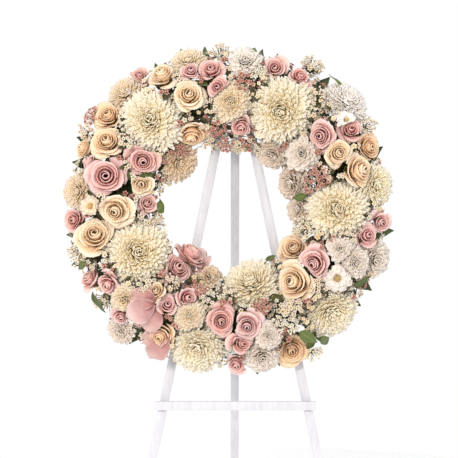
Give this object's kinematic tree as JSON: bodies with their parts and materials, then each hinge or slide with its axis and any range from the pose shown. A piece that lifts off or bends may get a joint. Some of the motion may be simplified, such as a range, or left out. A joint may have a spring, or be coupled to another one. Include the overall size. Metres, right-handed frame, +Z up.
{
  "type": "funeral wreath on easel",
  "caption": "Round funeral wreath of roses, chrysanthemums and greenery on a foam ring, hung on a folding white wooden three-legged easel.",
  "frame": {"origin": "on the floor, under the middle of the whole object's bounding box", "axes": "+Z up, the wreath faces -Y, +X to the viewer's right"},
  "size_m": [0.6398, 0.5854, 1.2386],
  "materials": {
    "painted_wood": "white paint, satin",
    "hinge_steel": "zinc plated",
    "floral_foam": "wet, matte fine-celled foam",
    "tray_plastic": "matte",
    "cream_petals": "matte petals, yellow-green at the centre",
    "white_petals": "matte petals",
    "pink_petals": "velvety petals, deeper pink at the centre",
    "peach_petals": "velvety petals, apricot at the centre",
    "bud_spray": "small waxy buds on thin stalks",
    "greenery": "leathery leaves"
  },
  "bodies": {
    "front_frame": {"backing_tray": "tray_plastic", "blossom_spray_right": "pink_petals", "bud_spray_bottom": "bud_spray", "bud_spray_inner_right": "bud_spray", "bud_spray_left_edge": "bud_spray", "bud_spray_top_right": "bud_spray", "chrysanthemum_bottom_left": "cream_petals", "chrysanthemum_bottom_middle": "cream_petals", "chrysanthemum_left": "cream_petals", "chrysanthemum_left_edge": "cream_petals", "chrysanthemum_lower_right": "cream_petals", "chrysanthemum_right": "cream_petals", "chrysanthemum_right_shoulder": "white_petals", "chrysanthemum_top_edge": "cream_petals", "chrysanthemum_top_right": "cream_petals", "chrysanthemum_upper_left": "cream_petals", "crossbar": "painted_wood", "foam_ring": "floral_foam", "front_leg_left": "painted_wood", "front_leg_right": "painted_wood", "hanging_wire": "hinge_steel", "header_block": "painted_wood", "hinge_leaf_fixed": "hinge_steel", "leafy_sprig_lower_left": "greenery", "leafy_sprig_lower_right": "greenery", "leafy_sprig_upper_left": "greenery", "leafy_sprig_upper_right": "greenery", "peach_rose_bottom_edge": "peach_petals", "peach_rose_bottom_left_edge": "peach_petals", "peach_rose_inner_left": "peach_petals", "peach_rose_inner_upper_left": "peach_petals", "peach_rose_lower_left": "peach_petals", "peach_roses_left": "peach_petals", "peach_roses_lower_right": "peach_petals", "peach_roses_right": "peach_petals", "peach_roses_top_left": "peach_petals", "peach_roses_upper_left_edge": "peach_petals", "pink_rose_by_the_hole": "pink_petals", "pink_rose_inner_left": "pink_petals", "pink_rose_inner_top": "pink_petals", "pink_rose_left_edge": "pink_petals", "pink_rose_lower_right": "pink_petals", "pink_rose_top_left_edge": "pink_petals", "pink_roses_bottom": "pink_petals", "pink_roses_bottom_left_edge": "pink_petals", "pink_roses_inner_lower_left": "pink_petals", "pink_roses_left": "pink_petals", "pink_roses_lower_left": "pink_petals", "pink_roses_lower_left_edge": "pink_petals", "pink_roses_right_edge": "pink_petals", "pink_roses_right_shoulder": "pink_petals", "pink_roses_top_left": "pink_petals", "pink_roses_top_right": "pink_petals", "white_daisies_bottom": "white_petals", "white_daisies_inner_right": "white_petals", "white_daisies_lower_right": "white_petals", "white_daisy_bottom_left_edge": "white_petals", "white_daisy_top": "white_petals"},
    "rear_leg": {"rear_leg": "painted_wood", "hinge_leaf_moving": "hinge_steel"}
  },
  "joints": [
    {"name": "rear_leg_fold", "type": "hinge", "parent": "front_frame", "child": "rear_leg", "pos_m": [0.01243, -0.093, 1.13765], "axis": [-1, 0, 0], "range_deg": [0, 25]}
  ]
}
